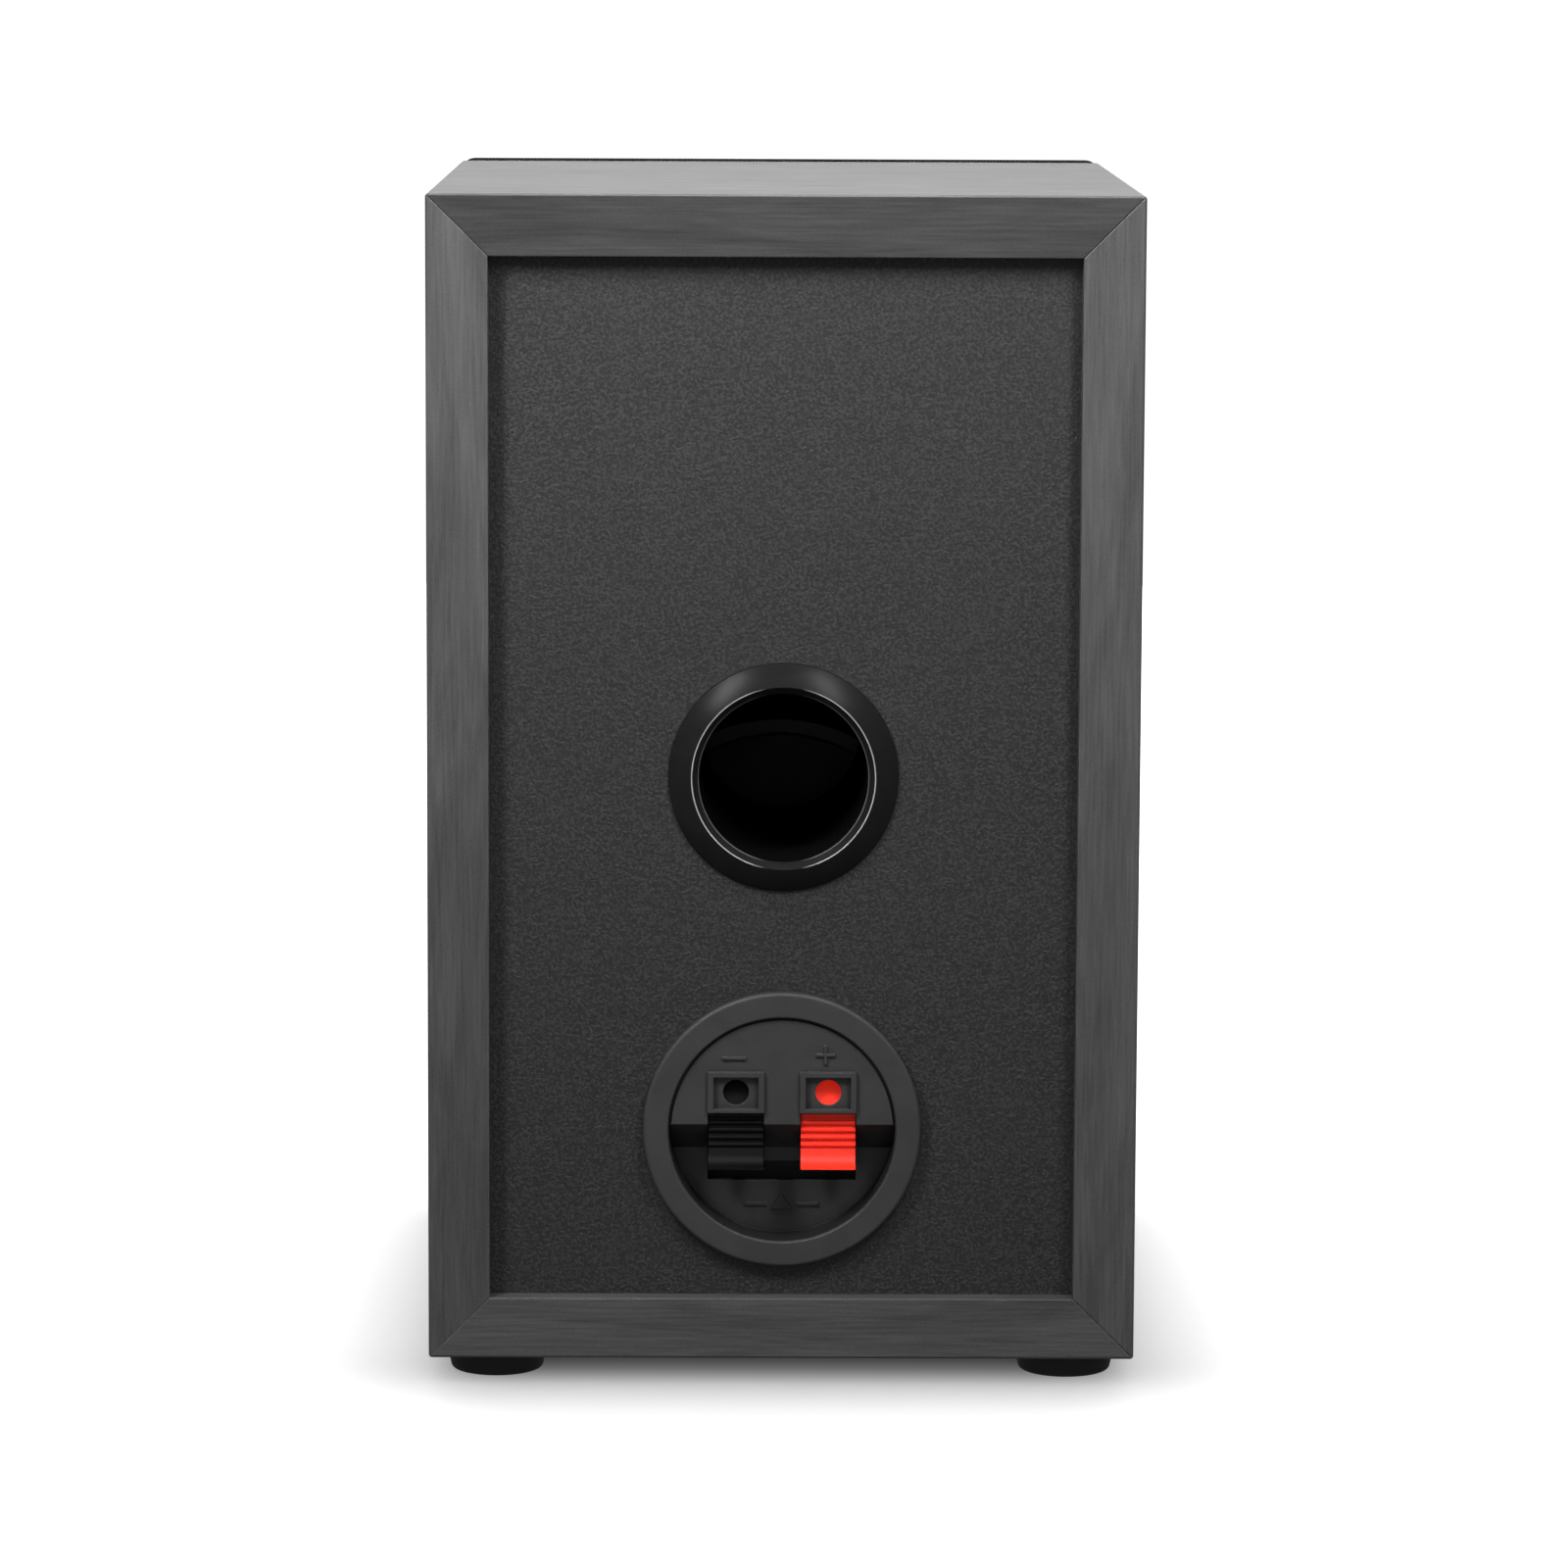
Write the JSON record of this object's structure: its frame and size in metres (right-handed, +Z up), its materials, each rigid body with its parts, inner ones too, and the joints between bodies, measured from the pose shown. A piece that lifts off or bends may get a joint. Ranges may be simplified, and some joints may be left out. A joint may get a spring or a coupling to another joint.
{
  "type": "bookshelf speaker",
  "caption": "Ported two-way bookshelf speaker in a mitred black box with a round push-lever terminal cup, rubber feet and a pull-off cloth grille.",
  "frame": {"origin": "centre of the footprint on the surface the feet stand on", "axes": "+Z up, -Y towards the listener (grille side), +Y out of the rear panel, +X to the right seen from the front"},
  "size_m": [0.1478, 0.181, 0.2474],
  "materials": {
    "cabinet_wrap": "satin black woodgrain vinyl",
    "panel_vinyl": "fine pebbled black vinyl",
    "port_plastic": "satin gloss moulded black",
    "cup_plastic": "fine matte moulded black",
    "lever_black_plastic": "satin moulded black",
    "lever_red_plastic": "satin moulded red",
    "rubber": "matte black",
    "foam": "closed-cell foam",
    "steel": "zinc plated",
    "basket_paint": "black stamped steel",
    "brass": "tinned brass",
    "board": "circuit board",
    "dark_plastic": "moulded black",
    "copper": "enamelled copper wire",
    "film": "film wrap",
    "cement": "cast cement block",
    "ferrite": "dark grey ferrite",
    "paper": "doped black paper",
    "former": "impregnated paper",
    "spider_cloth": "resin-stiffened cloth",
    "silk": "coated silk",
    "wire_black": "insulated wire",
    "grille_cloth": "black knitted speaker cloth",
    "wadding": "polyester wadding"
  },
  "bodies": {
    "cabinet": {"cabinet_top": "cabinet_wrap", "cabinet_bottom": "cabinet_wrap", "cabinet_left": "cabinet_wrap", "cabinet_right": "cabinet_wrap", "front_baffle": "panel_vinyl", "rear_panel": "panel_vinyl", "port_tube": "port_plastic", "foot_front_left": "rubber", "foot_front_right": "rubber", "foot_rear_left": "rubber", "foot_rear_right": "rubber", "terminal_cup": "cup_plastic", "terminal_gasket": "foam", "terminal_back_plate": "cup_plastic", "lever_axle": "steel", "lever_spring_black": "steel", "lever_spring_red": "steel", "contact_strips": "brass", "input_wires": "wire_black", "crossover_board": "board", "crossover_standoffs": "dark_plastic", "crossover_screws": "steel", "woofer_inductor": "copper", "tweeter_inductor": "copper", "crossover_capacitor": "film", "crossover_resistor": "cement", "woofer_gasket": "foam", "woofer_basket": "basket_paint", "woofer_trim_ring": "rubber", "woofer_surround": "rubber", "woofer_spider": "spider_cloth", "woofer_top_plate": "steel", "woofer_magnet": "ferrite", "woofer_yoke": "steel", "woofer_terminal": "former", "woofer_screws": "steel", "woofer_wires": "wire_black", "tweeter_faceplate": "dark_plastic", "tweeter_surround": "silk", "tweeter_top_plate": "steel", "tweeter_magnet": "ferrite", "tweeter_yoke": "steel", "tweeter_terminal": "former", "tweeter_screws": "steel", "tweeter_wires": "wire_black", "grille_sockets": "rubber", "damping_pad_top": "wadding", "damping_pad_left": "wadding", "damping_pad_right": "wadding"},
    "grille": {"grille_frame": "dark_plastic", "grille_cloth": "grille_cloth", "grille_pegs": "dark_plastic"},
    "black_lever": {"push_lever_black": "lever_black_plastic"},
    "red_lever": {"push_lever_red": "lever_red_plastic"},
    "woofer_cone_assembly": {"woofer_cone": "paper", "woofer_dust_cap": "paper", "woofer_former": "former", "woofer_winding": "copper"},
    "tweeter_dome_assembly": {"tweeter_dome": "silk", "tweeter_coil": "copper"}
  },
  "joints": [
    {"name": "grille_pull", "type": "slide", "parent": "cabinet", "child": "grille", "axis": [0, -1, 0], "range_m": [0, 0.03]},
    {"name": "black_lever_press", "type": "hinge", "parent": "cabinet", "child": "black_lever", "pos_m": [0.0096, 0.064, 0.052], "axis": [-1, 0, 0], "range_deg": [0, 9], "stiffness_Nm_per_rad": 0.15, "springref_deg": -9.74, "deforming": ["lever_spring_black"]},
    {"name": "red_lever_press", "type": "hinge", "parent": "cabinet", "child": "red_lever", "pos_m": [-0.0096, 0.064, 0.052], "axis": [-1, 0, 0], "range_deg": [0, 9], "stiffness_Nm_per_rad": 0.15, "springref_deg": -9.74, "deforming": ["lever_spring_red"]},
    {"name": "woofer_excursion", "type": "slide", "parent": "cabinet", "child": "woofer_cone_assembly", "axis": [0, -1, 0], "range_m": [-0.003, 0.003], "stiffness_N_per_m": 1100, "deforming": ["woofer_surround", "woofer_spider"]},
    {"name": "tweeter_excursion", "type": "slide", "parent": "cabinet", "child": "tweeter_dome_assembly", "axis": [0, -1, 0], "range_m": [-0.0003, 0.0003], "stiffness_N_per_m": 300, "deforming": ["tweeter_surround"]}
  ]
}
